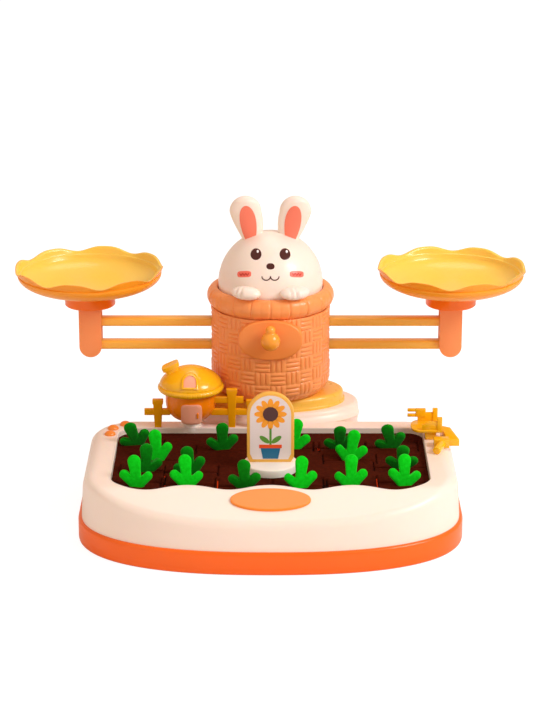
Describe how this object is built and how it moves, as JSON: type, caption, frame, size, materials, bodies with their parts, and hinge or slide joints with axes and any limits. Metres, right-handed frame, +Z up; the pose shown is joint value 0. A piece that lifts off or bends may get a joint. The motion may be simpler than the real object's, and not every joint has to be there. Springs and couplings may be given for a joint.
{
  "type": "toy balance scale",
  "caption": "Toy balance with a rabbit in a basket, parallel beams, petal-edged pans and a tray of felt carrots to pull.",
  "frame": {"origin": "on the floor under the column that carries the beams", "axes": "+X along the beams to the right as seen from the front, +Y to the back, +Z up"},
  "size_m": [0.3784, 0.2634, 0.2134],
  "materials": {
    "cream_plastic": "smooth glossy cream moulding",
    "orange_plastic": "smooth glossy orange moulding",
    "house_plastic": "smooth glossy light orange moulding",
    "salmon_plastic": "smooth salmon moulding",
    "roof_plastic": "smooth glossy golden yellow moulding",
    "yellow_plastic": "smooth glossy yellow moulding",
    "peach_plastic": "satin peach orange moulding with a woven relief on the basket",
    "coral_plastic": "smooth coral moulding",
    "amber_plastic": "smooth glossy amber moulding",
    "steel": "plain turned steel",
    "sign_board": "printed board with a plain yellow edge",
    "white_plastic": "smooth white moulding",
    "brown_felt": "dark brown pressed felt with cut slits",
    "green_felt": "green pressed felt leaf on an orange felt root"
  },
  "bodies": {
    "base": {"upper_shell": "cream_plastic", "column": "cream_plastic", "head": "cream_plastic", "ear_left": "cream_plastic", "ear_right": "cream_plastic", "paw_left": "cream_plastic", "paw_right": "cream_plastic", "lower_shell": "orange_plastic", "bed_plate": "orange_plastic", "front_badge": "orange_plastic", "corner_studs": "orange_plastic", "house_body": "house_plastic", "house_door": "salmon_plastic", "house_window": "salmon_plastic", "house_roof": "roof_plastic", "house_chimney": "roof_plastic", "garden_fence": "roof_plastic", "farm_cart": "roof_plastic", "basket_foot": "yellow_plastic", "basket": "peach_plastic", "basket_rim": "peach_plastic", "dial_plate": "peach_plastic", "ear_lining_left": "coral_plastic", "ear_lining_right": "coral_plastic", "shell_screws": "steel", "column_screws": "steel", "lower_axle": "steel", "soil_felt": "brown_felt"},
    "upper_beam": {"upper_beam": "amber_plastic", "upper_axle": "steel", "pointer_knob": "amber_plastic"},
    "lower_beam": {"lower_beam": "amber_plastic"},
    "left_post": {"left_post": "peach_plastic", "left_post_pins": "steel"},
    "right_post": {"right_post": "peach_plastic", "right_post_pins": "steel"},
    "left_pan": {"left_pan": "yellow_plastic"},
    "right_pan": {"right_pan": "yellow_plastic"},
    "sign": {"sign_plate": "sign_board", "sign_base": "white_plastic"},
    "carrot_01": {"carrot_01": "green_felt"},
    "carrot_02": {"carrot_02": "green_felt"},
    "carrot_03": {"carrot_03": "green_felt"},
    "carrot_04": {"carrot_04": "green_felt"},
    "carrot_05": {"carrot_05": "green_felt"},
    "carrot_06": {"carrot_06": "green_felt"},
    "carrot_07": {"carrot_07": "green_felt"},
    "carrot_08": {"carrot_08": "green_felt"},
    "carrot_09": {"carrot_09": "green_felt"},
    "carrot_10": {"carrot_10": "green_felt"},
    "carrot_11": {"carrot_11": "green_felt"},
    "carrot_12": {"carrot_12": "green_felt"},
    "carrot_13": {"carrot_13": "green_felt"},
    "carrot_14": {"carrot_14": "green_felt"},
    "carrot_15": {"carrot_15": "green_felt"},
    "carrot_16": {"carrot_16": "green_felt"}
  },
  "joints": [
    {"name": "beam_tilt", "type": "hinge", "parent": "base", "child": "upper_beam", "pos_m": [0, 0, 0.1175], "axis": [0, 1, 0], "range_deg": [-9, 9]},
    {"name": "lower_beam_tilt", "type": "hinge", "parent": "base", "child": "lower_beam", "pos_m": [0, 0, 0.0995], "axis": [0, 1, 0], "range_deg": [-9, 9]},
    {"name": "left_post_level", "type": "hinge", "parent": "upper_beam", "child": "left_post", "pos_m": [-0.1344, 0, 0.1175], "axis": [0, 1, 0], "range_deg": [-9, 9]},
    {"name": "right_post_level", "type": "hinge", "parent": "upper_beam", "child": "right_post", "pos_m": [0.1344, 0, 0.1175], "axis": [0, 1, 0], "range_deg": [-9, 9]},
    {"name": "left_pan_lift", "type": "slide", "parent": "left_post", "child": "left_pan", "axis": [0, 0, 1], "range_m": [0, 0.03]},
    {"name": "right_pan_lift", "type": "slide", "parent": "right_post", "child": "right_pan", "axis": [0, 0, 1], "range_m": [0, 0.03]},
    {"name": "sign_lift", "type": "slide", "parent": "base", "child": "sign", "axis": [0, 0, 1], "range_m": [0, 0.03]},
    {"name": "carrot_01_pull", "type": "slide", "parent": "base", "child": "carrot_01", "axis": [0, 0, 1], "range_m": [0, 0.04]},
    {"name": "carrot_02_pull", "type": "slide", "parent": "base", "child": "carrot_02", "axis": [0, 0, 1], "range_m": [0, 0.04]},
    {"name": "carrot_03_pull", "type": "slide", "parent": "base", "child": "carrot_03", "axis": [0, 0, 1], "range_m": [0, 0.04]},
    {"name": "carrot_04_pull", "type": "slide", "parent": "base", "child": "carrot_04", "axis": [0, 0, 1], "range_m": [0, 0.04]},
    {"name": "carrot_05_pull", "type": "slide", "parent": "base", "child": "carrot_05", "axis": [0, 0, 1], "range_m": [0, 0.04]},
    {"name": "carrot_06_pull", "type": "slide", "parent": "base", "child": "carrot_06", "axis": [0, 0, 1], "range_m": [0, 0.04]},
    {"name": "carrot_07_pull", "type": "slide", "parent": "base", "child": "carrot_07", "axis": [0, 0, 1], "range_m": [0, 0.04]},
    {"name": "carrot_08_pull", "type": "slide", "parent": "base", "child": "carrot_08", "axis": [0, 0, 1], "range_m": [0, 0.04]},
    {"name": "carrot_09_pull", "type": "slide", "parent": "base", "child": "carrot_09", "axis": [0, 0, 1], "range_m": [0, 0.04]},
    {"name": "carrot_10_pull", "type": "slide", "parent": "base", "child": "carrot_10", "axis": [0, 0, 1], "range_m": [0, 0.04]},
    {"name": "carrot_11_pull", "type": "slide", "parent": "base", "child": "carrot_11", "axis": [0, 0, 1], "range_m": [0, 0.04]},
    {"name": "carrot_12_pull", "type": "slide", "parent": "base", "child": "carrot_12", "axis": [0, 0, 1], "range_m": [0, 0.04]},
    {"name": "carrot_13_pull", "type": "slide", "parent": "base", "child": "carrot_13", "axis": [0, 0, 1], "range_m": [0, 0.04]},
    {"name": "carrot_14_pull", "type": "slide", "parent": "base", "child": "carrot_14", "axis": [0, 0, 1], "range_m": [0, 0.04]},
    {"name": "carrot_15_pull", "type": "slide", "parent": "base", "child": "carrot_15", "axis": [0, 0, 1], "range_m": [0, 0.04]},
    {"name": "carrot_16_pull", "type": "slide", "parent": "base", "child": "carrot_16", "axis": [0, 0, 1], "range_m": [0, 0.04]}
  ],
  "couplings": [
    {"joint": "lower_beam_tilt", "follows": "beam_tilt", "ratio": 1},
    {"joint": "left_post_level", "follows": "beam_tilt", "ratio": -1},
    {"joint": "right_post_level", "follows": "beam_tilt", "ratio": -1}
  ]
}
